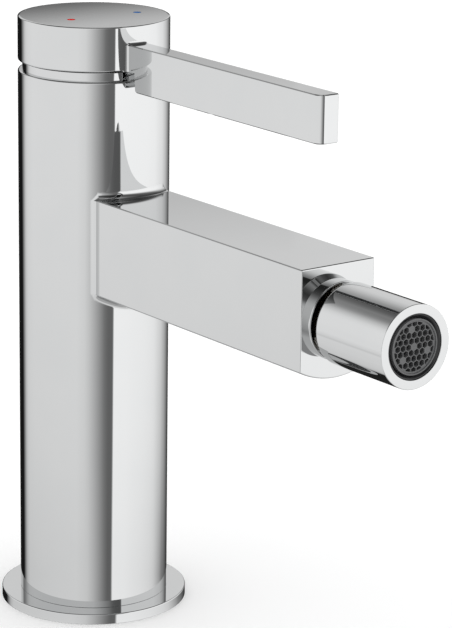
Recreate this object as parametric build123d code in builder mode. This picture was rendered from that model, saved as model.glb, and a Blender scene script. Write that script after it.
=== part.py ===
# Bidet mixer: a column with a box spout, a swivel nozzle, a lever cap and the
# ceramic cartridge inside. Millimetres, +Z up, spout and lever towards -Y.
# The origin is the centre of the flange's underside, on the column's axis.
from build123d import *
import math
import os

os.makedirs("parts", exist_ok=True)

# Column and flange
column_wall = 4.35
column_top = 161.0
chamber_wall = 3.5
flange_overhang = 5.6
flange_thickness = 3.1
flange_gap = 0.1
spigot_step = 3.0
floor_thickness = 22.0
edge_break = 0.3
gasket_width = 3.8
gasket_depth = 1.6
gasket_inset = 2.6

# Water ways and threads in the casting
duct_spacing = 12.0
duct_forward = 6.1
duct_bore_radius = 3.0
duct_wall = 3.4
duct_channel_gap = 2.0
port_radius = 4.46
port_depth = 12.0
stud_hole_radius = 3.4
stud_hole_depth = 10.0
stud_hole_back = 10.5
seat_thickness = 7.0
outlet_back = 3.6
outlet_radius = 2.9

# Spout
spout_length = 92.4
spout_drop = 0.9
spout_side_height = 28.0
spout_bulge = 3.2
spout_wall = 2.5
spout_end_wall = 8.5
spout_root_fillet = 2.2

# Cartridge
cartridge_radius = 17.4
cartridge_fit = 0.25
cartridge_wall = 2.0
base_plate = 3.5
base_rim_height = 2.0
base_rim_wall = 2.2
peg_radius = 1.5
peg_length = 2.0
peg_edge = 2.0
peg_angle = 26.0
disc_thickness = 3.0
disc_margin = 1.0
inlet_radius = 2.6
closing_land = 0.36
pocket_depth = 1.6
carrier_height = 5.4
lug_radius = 1.5
lug_length = 1.3
lug_edge = 2.0
turntable_height = 7.6
turntable_gap = 0.3
turntable_shoulder_width = 3.1
turntable_neck_height = 6.0
housing_lip = 2.0
running_gap = 0.1
seal_inner_radius = 3.1
seal_width = 1.2
port_seal_depth = 1.5
disc_seal_depth = 1.1
seal_gap = 0.05

# Lever spindle, on its cross pin
pivot_rise = 4.8
pin_radius = 1.95
pin_gap = 0.05
pin_cover = 1.8
spindle_width = 8.0
spindle_entry = 1.55
spindle_slot_gap = 0.15
spindle_neck_radius = 1.9
spindle_ball_radius = 2.9
spindle_ball_sink = 2.1
spindle_ball_gap = 0.2
lift_angle = 20.0

# Nut and neck ring
thread_wall = 3.0
thread_gap = 0.05
nut_height = 5.0
nut_bore_step = 0.4
nut_depth = 2.9
nut_notch_width = 4.0
nut_notch_depth = 2.0
nut_notches = 4
neck_step = 1.3
neck_height = 2.7
neck_opening_step = 1.1
neck_shell = 1.1
neck_skirt_depth = 2.6
neck_seal_radius = 0.55

# Handle
reveal = 2.8
cap_height = 12.85
cap_wall = 1.5
cap_flare = 0.7
cap_flare_height = 2.0
cap_top_thickness = 4.2
blade_thickness = 6.4
blade_height = 13.2
blade_drop = 5.2
blade_length = 87.2
blade_root_fillet = 0.9
blade_heel_gap = 3.05
blade_heel_radius = 0.9
blade_near_radius = 2.6
blade_far_radius = 0.4
hub_wall = 1.15
hub_length = 5.0
socket_gap = 0.05
screw_radius = 2.5
screw_sink = 0.2
screw_drop = 2.55
screw_hex = 2.5
screw_hex_depth = 1.4
plug_radius = 2.7
plug_gap = 0.05
plug_head = 1.2
mark_radius = 1.15
mark_depth = 0.8
mark_forward = 3.5
hot_mark_left = 10.2
cold_mark_right = 12.7

# Swivel nozzle, measured forward from the spout's end face
ball_forward = 10.0
ball_radius = 6.2
ball_bore_radius = 2.9
ball_hex_depth = 3.5
ball_hex_across = 6.4
ball_neck_radius = 3.9
ball_gap = 0.2
liner_thickness = 1.0
liner_reach = 2.6
retainer_front = 1.2
retainer_lip = 4.4
retainer_wall = 1.65
retainer_throat_radius = 5.9
retainer_mouth_radius = 7.0
seat_reach = 4.2
ball_seal_radius = 0.7
ball_seal_forward = 5.0
throat_radius = 4.4
throat_length = 1.0
funnel_length = 2.2
retainer_sink = 0.45
nozzle_wall = 2.1
nozzle_rear_round = 2.66
nozzle_rear_edge = 0.35
nozzle_rear_gap = 0.9
nozzle_rise = 0.4
collar_step = 0.5
collar_margin = 1.45
collar_band = 1.9
collar_edge = 0.5
collar_shoulder = 1.25
collar_seat_depth = 3.2
collar_fit = 0.05
dish_gap = 0.45
stud_flange_step = 0.3
stud_flange_sink = 0.9
stud_flange_thickness = 1.1
stud_thread_radius = 6.0
stud_thread_length = 5.0
stud_seal_radius = 0.6

# Aerator
aerator_radius = 8.73
aerator_gap = 0.1
aerator_length = 11.6
aerator_recess = 0.25
aerator_groove_depth = 0.9
aerator_wall = 1.18
aerator_shelf = 1.0
grille_rim = 0.35
grille_rim_height = 0.35
grille_thickness = 2.0
cell_pitch = 1.81
cell_wall = 0.22
cell_margin = 0.55
core_length = 4.0
core_hole_radius = 0.7
core_hole_edge = 2.0
core_holes = 12
washer_thickness = 1.4
washer_width = 2.5

# Cuts run this far past the faces that they open
overrun = 1.0

# Radii that follow from the cartridge outwards
cartridge_bore = cartridge_radius + cartridge_fit
body_radius = cartridge_bore + column_wall
chamber_radius = body_radius - chamber_wall
spigot_radius = body_radius - spigot_step
flange_radius = body_radius + flange_overhang
thread_radius = body_radius - thread_wall
nut_radius = thread_radius - thread_gap
housing_bore = cartridge_radius - cartridge_wall
turntable_radius = housing_bore - running_gap
turntable_neck_radius = turntable_radius - turntable_shoulder_width
lip_bore = turntable_neck_radius + turntable_gap
nut_bore_radius = lip_bore + nut_bore_step
disc_radius = housing_bore - base_rim_wall - 2 * running_gap
moving_disc_radius = disc_radius - disc_margin
peg_circle = cartridge_radius - peg_edge - peg_radius
half_bar = spindle_width / 2
cap_bore = body_radius - cap_wall
hub_radius = half_bar * math.sqrt(2) + hub_wall
heel = body_radius + blade_heel_gap
blade_reach = body_radius + blade_length
spout_reach = body_radius + spout_length

# Heights that follow from the column's top, down through the cartridge to the spout
nut_top = column_top - nut_depth
housing_top = nut_top - nut_height
lip_bottom = housing_top - housing_lip
turntable_shoulder = lip_bottom - turntable_gap
turntable_bottom = turntable_shoulder - turntable_height
turntable_top = turntable_shoulder + turntable_neck_height
carrier_top = turntable_bottom - turntable_gap
moving_top = carrier_top - carrier_height
fixed_top = moving_top - disc_thickness
base_top = fixed_top - disc_thickness
seat_height = base_top - base_plate
chamber_top = seat_height - seat_thickness
chamber_floor = flange_thickness + floor_thickness
pivot_height = turntable_bottom + pivot_rise
spindle_ball_height = carrier_top - spindle_ball_sink
spout_top = seat_height - spout_drop
spout_side_bottom = spout_top - spout_side_height
spout_bottom = spout_side_bottom - spout_bulge

# Heights that follow upwards, through the handle
cap_bottom = column_top + reveal
cap_top = cap_bottom + cap_height
cap_ceiling = cap_top - cap_top_thickness
spindle_top = cap_ceiling + spindle_entry
screw_height = cap_ceiling - screw_drop
blade_top = cap_top - blade_drop
blade_bottom = blade_top - blade_height

# Water ways, as places on the seat
duct_radius = duct_bore_radius + duct_wall
channel_back = duct_forward + duct_radius + duct_channel_gap
ducts = [(-duct_spacing / 2, -duct_forward), (duct_spacing / 2, -duct_forward)]
outlet = (0, outlet_back)
ways = ducts + [outlet]
pocket_radius = math.hypot(*ducts[0]) - inlet_radius - closing_land
peg_side = peg_circle * math.cos(math.radians(peg_angle))
peg_back = peg_circle * math.sin(math.radians(peg_angle))
pegs = [(-peg_side, peg_back), (peg_side, peg_back)]
lug_side = moving_disc_radius - lug_edge - lug_radius
lugs = [(-lug_side, 0), (lug_side, 0)]

# The nozzle, from its ball outwards and forward
liner_radius = ball_radius + ball_gap + liner_thickness
seat_sphere = liner_radius + ball_gap
nozzle_bore = seat_sphere + retainer_wall
nozzle_radius = nozzle_bore + nozzle_wall
nozzle_rear_radius = nozzle_bore + nozzle_rear_edge
collar_radius = nozzle_radius - collar_step
collar_seat_radius = collar_radius - collar_shoulder
nozzle_rear = collar_band + nozzle_rear_gap
spout_half = collar_radius + collar_margin
seal_centre = ball_forward + ball_seal_forward
seal_front = seal_centre + ball_seal_radius + seal_gap
ledge = seal_front + throat_length + funnel_length
nozzle_length = ledge + washer_thickness + aerator_length
nozzle_height = (spout_top + spout_bottom) / 2 + nozzle_rise
aerator_bore = aerator_radius + aerator_gap
washer_bore_radius = aerator_radius - washer_width
grille_seat = aerator_radius - aerator_wall
grille_radius = grille_seat - seal_gap
case_bore = grille_seat - aerator_shelf

# The nozzle's own planes: across its axis, and through it with y forward
nozzle_origin = (0, -spout_reach, nozzle_height)
nozzle_face = Plane(origin=nozzle_origin, x_dir=(1, 0, 0), z_dir=(0, -1, 0))
nozzle_section = Plane(origin=nozzle_origin, x_dir=(1, 0, 0), z_dir=(0, 0, -1))
nozzle_axis = Axis(nozzle_origin, (0, -1, 0))


def finish(piece, label):
    """Label a finished piece and write it out."""
    piece.part.label = label
    export_step(piece.part, f"parts/{label}.step")


def turned(points, plane=Plane.XZ, axis=Axis.Z, mode=Mode.ADD):
    """Turn a closed outline, given as radius and height, about an axis."""
    with BuildSketch(plane) as outline:
        with BuildLine():
            Polyline(*points, close=True)
        make_face()
    revolve(outline.sketch, axis=axis, mode=mode)


def nozzle_turned(points, mode=Mode.ADD):
    """Turn an outline, given as radius and distance forward, about the nozzle's axis."""
    turned(points, plane=nozzle_section, axis=nozzle_axis, mode=mode)


def tube(outer, inner, low, high):
    """The outline of a plain ring."""
    return [(inner, low), (outer, low), (outer, high), (inner, high)]


def rod(radius, low, high):
    """The outline of a solid round length."""
    return [(0, low), (radius, low), (radius, high), (0, high)]


# Body: column and spout cast in one, then bored for ducts, chamber and cartridge
with BuildPart() as body:
    with BuildSketch(Plane.XY.offset(flange_thickness)):
        Circle(body_radius)
    extrude(amount=column_top - flange_thickness)
    with BuildSketch(Plane.XZ.offset(spout_reach)):
        with BuildLine():
            left_low = (-spout_half, spout_side_bottom)
            right_low = (spout_half, spout_side_bottom)
            Polyline(left_low, (-spout_half, spout_top), (spout_half, spout_top), right_low)
            ThreePointArc(right_low, (0, spout_bottom), left_low)
        make_face()
    extrude(amount=-spout_reach)
    root = (
        body.edges()
        .filter_by_position(Axis.Y, -body_radius, -overrun)
        .filter_by_position(Axis.Z, spout_bottom - overrun, spout_top + overrun)
    )
    fillet(root, spout_root_fillet)
    rim = body.edges().group_by(Axis.Z)[-1]
    chamfer(rim, edge_break)
    with BuildSketch():
        Circle(spigot_radius)
    extrude(amount=flange_thickness)
    with BuildSketch(Plane.XY.offset(chamber_floor)):
        Circle(chamber_radius)
        with Locations(*ducts):
            Circle(duct_radius, mode=Mode.SUBTRACT)
    extrude(amount=chamber_top - chamber_floor, mode=Mode.SUBTRACT)
    with BuildSketch(Plane.XY.offset(seat_height)):
        Circle(cartridge_bore)
    extrude(amount=column_top - seat_height, mode=Mode.SUBTRACT)
    with BuildSketch(Plane.XY.offset(housing_top)):
        Circle(thread_radius)
    extrude(amount=column_top + overrun - housing_top, mode=Mode.SUBTRACT)
    with BuildSketch(Plane.XZ.offset(spout_reach - spout_end_wall)):
        with BuildLine():
            inner_half = spout_half - spout_wall
            inner_low = spout_side_bottom + spout_wall
            left_in = (-inner_half, inner_low)
            right_in = (inner_half, inner_low)
            high_in = spout_top - spout_wall
            Polyline(left_in, (-inner_half, high_in), (inner_half, high_in), right_in)
            ThreePointArc(right_in, (0, inner_low - spout_bulge), left_in)
        make_face()
    extrude(amount=channel_back - spout_reach + spout_end_wall, mode=Mode.SUBTRACT)
    with BuildSketch():
        with Locations(*ducts):
            Circle(duct_bore_radius)
    extrude(amount=seat_height + overrun, mode=Mode.SUBTRACT)
    with BuildSketch():
        with Locations(*ducts):
            Circle(port_radius)
    extrude(amount=port_depth, mode=Mode.SUBTRACT)
    with BuildSketch():
        with Locations((0, stud_hole_back)):
            Circle(stud_hole_radius)
    extrude(amount=stud_hole_depth, mode=Mode.SUBTRACT)
    with BuildSketch(Plane.XY.offset(chamber_top - overrun)):
        with Locations(outlet):
            Circle(outlet_radius)
    extrude(amount=seat_thickness + 2 * overrun, mode=Mode.SUBTRACT)
    with BuildSketch(Plane.XY.offset(seat_height)):
        with Locations(*pegs):
            Circle(peg_radius + running_gap)
    extrude(amount=-peg_length - running_gap, mode=Mode.SUBTRACT)
    nozzle_turned(rod(collar_seat_radius + collar_fit, -collar_seat_depth, overrun), Mode.SUBTRACT)
    nozzle_turned(rod(stud_thread_radius + thread_gap, -spout_end_wall - overrun, 0), Mode.SUBTRACT)
finish(body, "body")

# Flange: a turned disc round the column's spigot, with a groove for the gasket below
gasket_outer = flange_radius - gasket_inset
gasket_inner = gasket_outer - gasket_width
with BuildPart() as base_flange:
    turned(tube(flange_radius, spigot_radius + flange_gap, 0, flange_thickness))
    chamfer(base_flange.edges().group_by(Axis.Z)[-1].sort_by(SortBy.RADIUS)[-1], edge_break)
    turned(
        tube(gasket_outer + seal_gap, gasket_inner - seal_gap, -overrun, gasket_depth),
        mode=Mode.SUBTRACT,
    )
finish(base_flange, "base_flange")

with BuildPart() as base_gasket:
    turned(tube(gasket_outer, gasket_inner, 0, gasket_depth))
finish(base_gasket, "base_gasket")

# Cartridge base: a moulded plate with three ways, seal grooves on both sides and two pegs
with BuildPart() as cartridge_base:
    with BuildSketch(Plane.XY.offset(seat_height)):
        Circle(cartridge_radius)
    extrude(amount=base_plate)
    rim_bore = disc_radius + running_gap
    turned(tube(housing_bore - running_gap, rim_bore, base_top, base_top + base_rim_height))
    with BuildSketch(Plane.XY.offset(seat_height)):
        with Locations(*pegs):
            Circle(peg_radius)
    extrude(amount=-peg_length)
    with BuildSketch(Plane.XY.offset(seat_height)):
        with Locations(*ways):
            Circle(outlet_radius)
    extrude(amount=base_plate, mode=Mode.SUBTRACT)
    with BuildSketch(Plane.XY.offset(seat_height)):
        with Locations(*ways):
            Circle(seal_inner_radius + seal_width + seal_gap)
    extrude(amount=port_seal_depth + seal_gap, mode=Mode.SUBTRACT)
    with BuildSketch(Plane.XY.offset(base_top)):
        with Locations(*ways):
            Circle(seal_inner_radius + seal_width + seal_gap)
    extrude(amount=-disc_seal_depth - seal_gap, mode=Mode.SUBTRACT)
finish(cartridge_base, "cartridge_base")

# Seals: three rubber rings under the base, and three between base and fixed disc
with BuildPart() as port_seals:
    with BuildSketch(Plane.XY.offset(seat_height)):
        with Locations(*ways):
            Circle(seal_inner_radius + seal_width)
            Circle(seal_inner_radius, mode=Mode.SUBTRACT)
    extrude(amount=port_seal_depth)
finish(port_seals, "port_seals")

with BuildPart() as disc_seals:
    with BuildSketch(Plane.XY.offset(base_top)):
        with Locations(*ways):
            Circle(seal_inner_radius + seal_width)
            Circle(seal_inner_radius, mode=Mode.SUBTRACT)
    extrude(amount=-disc_seal_depth)
finish(disc_seals, "disc_seals")

# Fixed ceramic disc: two inlets and the outlet, held by the base's rim
with BuildPart() as fixed_disc:
    with BuildSketch(Plane.XY.offset(base_top)):
        Circle(disc_radius)
        with Locations(*ducts):
            Circle(inlet_radius, mode=Mode.SUBTRACT)
        with Locations(outlet):
            Circle(outlet_radius, mode=Mode.SUBTRACT)
    extrude(amount=disc_thickness)
finish(fixed_disc, "fixed_disc")

# Moving ceramic disc: a pocket below joins inlets and outlet, two sockets above take the lugs
with BuildPart() as moving_disc:
    with BuildSketch(Plane.XY.offset(fixed_top)):
        Circle(moving_disc_radius)
    extrude(amount=disc_thickness)
    with BuildSketch(Plane.XY.offset(fixed_top)):
        Circle(pocket_radius)
    extrude(amount=pocket_depth, mode=Mode.SUBTRACT)
    with BuildSketch(Plane.XY.offset(moving_top)):
        with Locations(*lugs):
            Circle(lug_radius + running_gap)
    extrude(amount=-lug_length - running_gap, mode=Mode.SUBTRACT)
finish(moving_disc, "moving_disc")

# Disc carrier: moulded block on the disc, with the round well that the spindle's ball drives
ball_well = spindle_ball_radius + spindle_ball_gap
with BuildPart() as disc_carrier:
    with BuildSketch(Plane.XY.offset(moving_top)):
        Circle(moving_disc_radius)
    extrude(amount=carrier_height)
    with BuildSketch(Plane.XY.offset(moving_top)):
        with Locations(*lugs):
            Circle(lug_radius)
    extrude(amount=-lug_length)
    with BuildSketch(Plane.XY.offset(carrier_top)):
        Circle(ball_well)
    extrude(amount=spindle_ball_height - ball_well - carrier_top, mode=Mode.SUBTRACT)
finish(disc_carrier, "disc_carrier")

# Turntable: turns in the housing, carries the cross pin, and is slotted for the spindle
lift = math.radians(lift_angle)
slot_back = half_bar / math.cos(lift) + (turntable_top - pivot_height) * math.tan(lift)
slot_front = half_bar + (pivot_height - turntable_bottom) * math.tan(lift)
pin_length = 2 * (turntable_radius - pin_cover)
with BuildPart() as turntable:
    turned(rod(turntable_radius, turntable_bottom, turntable_shoulder))
    turned(rod(turntable_neck_radius, turntable_shoulder, turntable_top))
    with BuildSketch(Plane.XY.offset(turntable_bottom)):
        with Locations((0, (slot_back - slot_front) / 2)):
            Rectangle(
                spindle_width + 2 * spindle_slot_gap,
                slot_back + slot_front + 2 * spindle_slot_gap,
            )
    extrude(amount=turntable_top - turntable_bottom, mode=Mode.SUBTRACT)
    with BuildSketch(Plane.YZ.offset(-pin_length / 2)):
        with Locations((0, pivot_height)):
            Circle(pin_radius + pin_gap)
    extrude(amount=pin_length, mode=Mode.SUBTRACT)
finish(turntable, "turntable")

with BuildPart() as pivot_pin:
    with BuildSketch(Plane.YZ.offset(-pin_length / 2)):
        with Locations((0, pivot_height)):
            Circle(pin_radius)
    extrude(amount=pin_length)
finish(pivot_pin, "pivot_pin")

# Spindle: a square steel bar, rounded about its pin, with a neck and ball below
with BuildPart() as spindle:
    with BuildSketch(Plane.YZ.offset(-half_bar)):
        with Locations((0, pivot_height)):
            Circle(half_bar)
        with Locations((0, (pivot_height + spindle_top) / 2)):
            Rectangle(spindle_width, spindle_top - pivot_height)
    extrude(amount=spindle_width)
    turned(rod(spindle_neck_radius, spindle_ball_height, pivot_height))
    with Locations((0, 0, spindle_ball_height)):
        Sphere(spindle_ball_radius)
    with BuildSketch(Plane.YZ.offset(-half_bar - overrun)):
        with Locations((0, pivot_height)):
            Circle(pin_radius + 2 * pin_gap)
    extrude(amount=spindle_width + 2 * overrun, mode=Mode.SUBTRACT)
    chamfer(spindle.edges().group_by(Axis.Z)[-1], edge_break)
finish(spindle, "spindle")

# Cartridge housing: moulded shell whose lip keeps the turntable down
with BuildPart() as cartridge_housing:
    turned(
        [
            (housing_bore, base_top),
            (cartridge_radius, base_top),
            (cartridge_radius, housing_top),
            (lip_bore, housing_top),
            (lip_bore, lip_bottom),
            (housing_bore, lip_bottom),
        ]
    )
finish(cartridge_housing, "cartridge_housing")

# Nut: brass ring screwed down on the housing, with notches for a pin wrench
with BuildPart() as cartridge_nut:
    turned(tube(nut_radius, nut_bore_radius, housing_top, nut_top))
    with BuildSketch(Plane.XY.offset(nut_top)):
        with PolarLocations((nut_radius + nut_bore_radius) / 2, nut_notches, start_angle=45):
            Rectangle(nut_radius - nut_bore_radius + 2 * overrun, nut_notch_width)
    extrude(amount=-nut_notch_depth, mode=Mode.SUBTRACT)
finish(cartridge_nut, "cartridge_nut")

# Neck ring: flat-topped cover in the shadow gap, pushed into the column's mouth on an O-ring
neck_radius = body_radius - neck_step
neck_top = column_top + neck_height
neck_opening_radius = nut_bore_radius + neck_opening_step
skirt_radius = thread_radius - 2 * seal_gap
groove_high = column_top - edge_break
groove_low = groove_high - 2 * neck_seal_radius - 2 * seal_gap
groove_radius = skirt_radius - 2 * neck_seal_radius + seal_gap
with BuildPart() as neck_ring:
    turned(
        [
            (skirt_radius - 2 * neck_shell, column_top - neck_skirt_depth),
            (skirt_radius, column_top - neck_skirt_depth),
            (skirt_radius, column_top),
            (neck_radius, column_top),
            (neck_radius, neck_top - edge_break),
            (neck_radius - edge_break, neck_top),
            (neck_opening_radius, neck_top),
            (neck_opening_radius, neck_top - neck_shell),
            (skirt_radius - 2 * neck_shell, neck_top - 2 * neck_shell),
        ]
    )
    turned(tube(skirt_radius + overrun, groove_radius, groove_low, groove_high), mode=Mode.SUBTRACT)
finish(neck_ring, "neck_ring")

with BuildPart() as neck_seal:
    with BuildSketch(Plane.XZ):
        with Locations((skirt_radius - neck_seal_radius + seal_gap, (groove_low + groove_high) / 2)):
            Circle(neck_seal_radius)
    revolve(axis=Axis.Z)
finish(neck_seal, "neck_seal")

# Handle: cap and blade in one casting, with a hub and square socket for the spindle
marks = {
    "hot_mark": (-hot_mark_left, -mark_forward),
    "cold_mark": (cold_mark_right, -mark_forward),
}
with BuildPart() as handle:
    with BuildSketch(Plane.XY.offset(cap_bottom)):
        Circle(body_radius)
    extrude(amount=cap_height)
    with BuildSketch(Plane.XY.offset(cap_bottom)):
        with Locations((0, -blade_reach / 2)):
            Rectangle(blade_thickness, blade_reach)
    extrude(amount=blade_top - cap_bottom)
    root = (
        handle.edges()
        .filter_by_position(Axis.Y, -body_radius, -body_radius + blade_thickness)
        .filter_by_position(Axis.X, -blade_thickness / 2, blade_thickness / 2)
        .filter_by_position(Axis.Z, cap_bottom, blade_top)
        .filter_by(lambda edge: edge.center().Z > cap_bottom + edge_break)
    )
    fillet(root, blade_root_fillet)
    with BuildSketch(Plane.YZ.offset(-blade_thickness / 2)):
        with BuildLine():
            heel_low = (-heel, blade_bottom + blade_heel_radius)
            heel_turn = (-heel - blade_heel_radius, blade_bottom)
            corner = (
                -heel - blade_heel_radius * (1 - math.sqrt(0.5)),
                blade_bottom + blade_heel_radius * (1 - math.sqrt(0.5)),
            )
            ThreePointArc(heel_low, corner, heel_turn)
            Polyline(
                heel_turn,
                (-blade_reach, blade_bottom),
                (-blade_reach, cap_bottom),
                (-heel, cap_bottom),
                heel_low,
            )
        make_face()
    extrude(amount=blade_thickness)
    tip = handle.edges().filter_by(Axis.Z).group_by(Axis.Y)[0].sort_by(Axis.X)
    near_tip = tip.filter_by_position(Axis.X, -blade_thickness, 0)
    fillet(near_tip, blade_near_radius)
    tip = handle.edges().filter_by(Axis.Z).group_by(Axis.Y)[0].sort_by(Axis.X)
    far_tip = tip.filter_by_position(Axis.X, blade_thickness / 4, blade_thickness)
    fillet(far_tip, blade_far_radius)
    chamfer(handle.edges().group_by(Axis.Z)[-1], edge_break)
    turned(rod(cap_bore, cap_bottom - overrun, cap_ceiling), mode=Mode.SUBTRACT)
    turned(
        [
            (0, cap_bottom),
            (cap_bore + cap_flare, cap_bottom),
            (cap_bore, cap_bottom + cap_flare_height),
            (0, cap_bottom + cap_flare_height),
        ],
        mode=Mode.SUBTRACT,
    )
    turned(rod(hub_radius, cap_ceiling - hub_length, cap_ceiling))
    with BuildSketch(Plane.XY.offset(cap_ceiling - hub_length)):
        Rectangle(spindle_width + 2 * socket_gap, spindle_width + 2 * socket_gap)
    extrude(amount=spindle_top + socket_gap - cap_ceiling + hub_length, mode=Mode.SUBTRACT)
    with BuildSketch(Plane.XZ):
        with Locations((0, screw_height)):
            Circle(screw_radius + running_gap)
    extrude(amount=-hub_radius - overrun, mode=Mode.SUBTRACT)
    with BuildSketch(Plane.XZ.offset(-cap_bore + overrun)):
        with Locations((0, screw_height)):
            Circle(plug_radius + plug_gap)
    extrude(amount=-cap_wall - 2 * overrun, mode=Mode.SUBTRACT)
    with BuildSketch(Plane.XY.offset(cap_top)):
        with Locations(*marks.values()):
            Circle(mark_radius + plug_gap)
    extrude(amount=-mark_depth, mode=Mode.SUBTRACT)
finish(handle, "handle")

# Grub screw in the hub, tight against the spindle, and the plug over its access hole
screw_length = hub_radius - half_bar - screw_sink
with BuildPart() as handle_screw:
    with BuildSketch(Plane.XZ.offset(-half_bar)):
        with Locations((0, screw_height)):
            Circle(screw_radius)
    extrude(amount=-screw_length)
    with BuildSketch(Plane.XZ.offset(-half_bar - screw_length)):
        with Locations((0, screw_height)):
            RegularPolygon(screw_hex / 2, 6, major_radius=False)
    extrude(amount=screw_hex_depth, mode=Mode.SUBTRACT)
finish(handle_screw, "handle_screw")

plug_face = math.sqrt(body_radius ** 2 - plug_radius ** 2)
with BuildPart() as screw_plug:
    with BuildSketch(Plane.XZ.offset(-plug_face)):
        with Locations((0, screw_height)):
            Circle(plug_radius)
    extrude(amount=plug_head)
finish(screw_plug, "screw_plug")

# Enamel dots, set flush in the cap's top
for name, place in marks.items():
    with BuildPart() as mark:
        with BuildSketch(Plane.XY.offset(cap_top)):
            with Locations(place):
                Circle(mark_radius)
        extrude(amount=-mark_depth)
    finish(mark, name)

# Swivel: whatever moves keeps inside a sphere about the ball's centre, clear of the collar's dish
round_radius = nozzle_radius - nozzle_rear_round
round_rise = math.sqrt(nozzle_rear_round ** 2 - (nozzle_rear_radius - round_radius) ** 2)
round_front = nozzle_rear + round_rise
sweep_radius = math.hypot(round_radius, ball_forward - round_front) + nozzle_rear_round
dish_radius = sweep_radius + dish_gap
stud_rear = -collar_seat_depth - stud_thread_length
stud_flange_rear = -stud_flange_sink - stud_flange_thickness
stud_flange_radius = stud_thread_radius + stud_flange_step
stud_seal_ring = (stud_thread_radius + collar_seat_radius) / 2
ball_front = ball_forward + ball_radius


def ball_zone(outer, inner, rear, front, mode=Mode.ADD):
    """Turn the part of a shell about the ball's centre that lies between two distances from it."""
    with BuildSketch(nozzle_section) as zone:
        with Locations((0, ball_forward)):
            Circle(outer)
            if inner:
                Circle(inner, mode=Mode.SUBTRACT)
        with Locations((0, ball_forward + rear)):
            Rectangle(outer, front - rear, align=(Align.MIN, Align.MIN), mode=Mode.INTERSECT)
    revolve(zone.sketch, axis=nozzle_axis, mode=mode)


# Collar: chrome band on a seat let into the spout's end, dished for the nozzle's swing
with BuildPart() as nozzle_collar:
    with BuildSketch(nozzle_section):
        Rectangle(collar_radius - collar_edge, collar_band, align=(Align.MIN, Align.MIN))
        Rectangle(collar_radius, collar_band - collar_edge, align=(Align.MIN, Align.MIN))
        with Locations((collar_radius - collar_edge, collar_band - collar_edge)):
            Circle(collar_edge)
        Rectangle(collar_seat_radius, collar_seat_depth, align=(Align.MIN, Align.MAX))
        with Locations((0, ball_forward)):
            Circle(dish_radius, mode=Mode.SUBTRACT)
        with Locations((stud_seal_ring, -collar_seat_depth)):
            Rectangle(
                2 * stud_seal_radius + 2 * seal_gap,
                2 * stud_seal_radius + 2 * seal_gap,
                align=(Align.CENTER, Align.MIN),
                mode=Mode.SUBTRACT,
            )
    revolve(axis=nozzle_axis)
    nozzle_turned(rod(stud_flange_radius + collar_fit, stud_flange_rear, 0), Mode.SUBTRACT)
    nozzle_turned(rod(stud_thread_radius + thread_gap, -collar_seat_depth - overrun, 0), Mode.SUBTRACT)
finish(nozzle_collar, "nozzle_collar")

with BuildPart() as stud_seal:
    with BuildSketch(nozzle_section):
        with Locations((stud_seal_ring, -collar_seat_depth + stud_seal_radius)):
            Circle(stud_seal_radius)
    revolve(axis=nozzle_axis)
finish(stud_seal, "stud_seal")

# Ball stud: hollow ball, neck, flange and threaded shank, turned from one bar
with BuildPart() as ball_stud:
    nozzle_turned(rod(stud_flange_radius, stud_flange_rear, -stud_flange_sink))
    nozzle_turned(rod(stud_thread_radius, stud_rear, stud_flange_rear))
    nozzle_turned(rod(ball_neck_radius, -stud_flange_sink, ball_forward))
    with Locations((0, -spout_reach - ball_forward, nozzle_height)):
        Sphere(ball_radius)
    nozzle_turned(rod(ball_bore_radius, stud_rear - overrun, ball_front), Mode.SUBTRACT)
    with BuildSketch(nozzle_face.offset(ball_front)):
        RegularPolygon(ball_hex_across / 2, 6, major_radius=False)
    extrude(amount=-ball_hex_depth, mode=Mode.SUBTRACT)
finish(ball_stud, "ball_stud")

# Liner: slippery plastic shell between the ball and its seats
with BuildPart() as ball_liner:
    ball_zone(liner_radius, ball_radius + ball_gap, -liner_reach, liner_reach)
finish(ball_liner, "ball_liner")

# Seal: an O-ring against the ball, in a pocket in front of the liner
ball_seal_pitch = ball_radius + seal_gap + ball_seal_radius
ball_seal_ring = math.sqrt(ball_seal_pitch ** 2 - ball_seal_forward ** 2)
seal_pocket_radius = ball_seal_ring + ball_seal_radius + seal_gap
with BuildPart() as ball_seal:
    with BuildSketch(nozzle_section):
        with Locations((ball_seal_ring, seal_centre)):
            Circle(ball_seal_radius)
    revolve(axis=nozzle_axis)
finish(ball_seal, "ball_seal")

# Nozzle housing: turned barrel with a ball seat in the middle and the aerator's thread in front
with BuildPart() as nozzle_housing:
    with BuildSketch(nozzle_section):
        with BuildLine():
            rear_flat = (nozzle_rear_radius, nozzle_rear)
            rear_edge = (nozzle_radius, round_front)
            RadiusArc(rear_flat, rear_edge, -nozzle_rear_round)
            Polyline(
                rear_edge,
                (nozzle_radius, nozzle_length - edge_break / 2),
                (nozzle_radius - edge_break / 2, nozzle_length),
                (aerator_bore, nozzle_length),
                (aerator_bore, ledge),
                (washer_bore_radius, ledge),
                (throat_radius, ledge - funnel_length),
                (throat_radius, seal_front),
                (seal_pocket_radius, seal_front),
                (seal_pocket_radius, ball_forward + retainer_front),
                (nozzle_bore, ball_forward + retainer_front),
                (nozzle_bore, nozzle_rear),
                rear_flat,
            )
        make_face()
    revolve(axis=nozzle_axis)
    ball_zone(seat_sphere, 0, retainer_front, seat_reach, Mode.SUBTRACT)
finish(nozzle_housing, "nozzle_housing")

# Retainer: brass ring screwed into the barrel's rear, which holds the ball in its seat
retainer_rear = nozzle_rear + retainer_sink
with BuildPart() as ball_retainer:
    nozzle_turned(
        [
            (retainer_mouth_radius, retainer_rear),
            (nozzle_bore - thread_gap, retainer_rear),
            (nozzle_bore - thread_gap, ball_forward + retainer_front),
            (retainer_throat_radius, ball_forward + retainer_front),
            (retainer_throat_radius, ball_forward - retainer_lip),
        ]
    )
    ball_zone(seat_sphere, 0, -retainer_lip, retainer_front, Mode.SUBTRACT)
finish(ball_retainer, "ball_retainer")

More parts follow.
